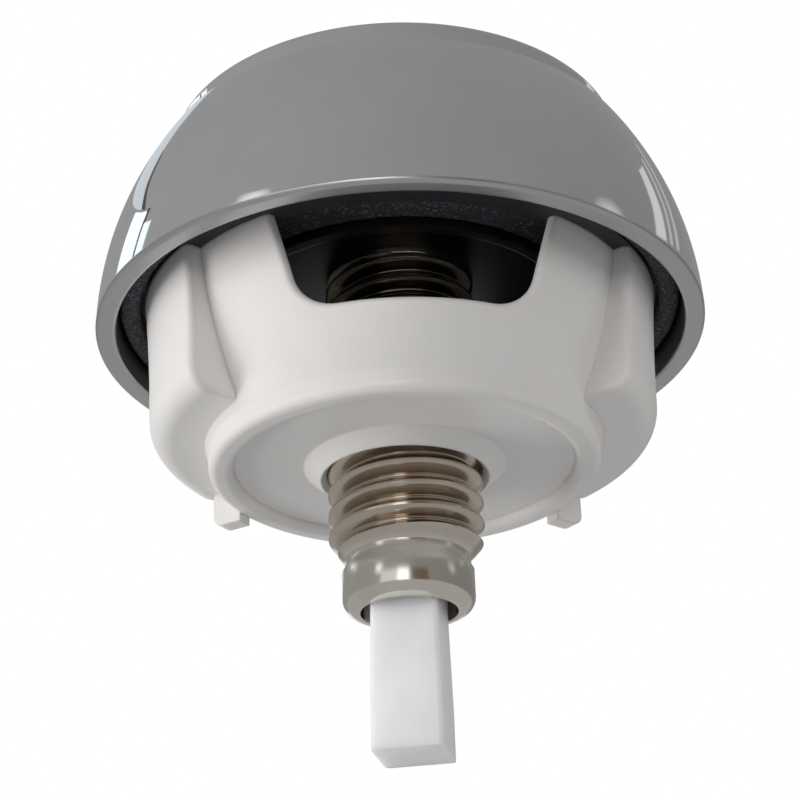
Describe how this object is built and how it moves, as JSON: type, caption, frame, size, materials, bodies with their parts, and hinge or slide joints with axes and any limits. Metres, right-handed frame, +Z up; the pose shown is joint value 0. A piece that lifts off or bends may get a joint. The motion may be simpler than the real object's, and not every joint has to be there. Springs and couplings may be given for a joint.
{
  "type": "push button cistern actuator",
  "caption": "Domed chrome push button with a sprung plunger rod in a threaded shank, clamped to a cistern lid by a white windowed cup nut under a foam gasket",
  "frame": {"origin": "centre of the bezel's rim, in the plane where it sits on the cistern lid", "axes": "+Z up along the shank towards the button, -Y through the middle of one nut window, +X through the middle of a grip lobe"},
  "size_m": [0.064, 0.064, 0.0698],
  "materials": {
    "chrome": "mirror plating",
    "nickel": "bright nickel plating on turned brass",
    "steel": "plain bright steel",
    "white_plastic": "moulded, soft gloss",
    "rod_plastic": "milky natural plastic",
    "grey_plastic": "moulded",
    "black_plastic": "smooth",
    "black_foam": "closed-cell foam, speckled"
  },
  "bodies": {
    "housing": {"bezel": "chrome", "threaded_shank": "nickel", "shank_lock_nut": "nickel", "tooth_lock_washer": "steel", "foam_gasket": "black_foam", "return_spring": "steel"},
    "button": {"push_button": "chrome", "button_carrier": "grey_plastic", "carrier_screw": "steel", "plunger_rod": "rod_plastic"},
    "nut_ring": {"slip_washer": "black_plastic"},
    "nut": {"back_nut": "white_plastic"}
  },
  "joints": [
    {"name": "button_press", "type": "slide", "parent": "housing", "child": "button", "axis": [0, 0, -1], "range_m": [0, 0.006], "stiffness_N_per_m": 300, "springref_m": -0.006, "deforming": ["return_spring"]},
    {"name": "nut_travel", "type": "slide", "parent": "housing", "child": "nut_ring", "axis": [0, 0, -1], "range_m": [0, 0.00808]},
    {"name": "nut_turn", "type": "hinge", "parent": "nut_ring", "child": "nut", "pos_m": [0, 0, 0], "axis": [0, 0, -1], "range_deg": [0, 1260]}
  ],
  "couplings": [
    {"joint": "nut_travel", "follows": "nut_turn", "m_per_rad": 0.0003675}
  ]
}
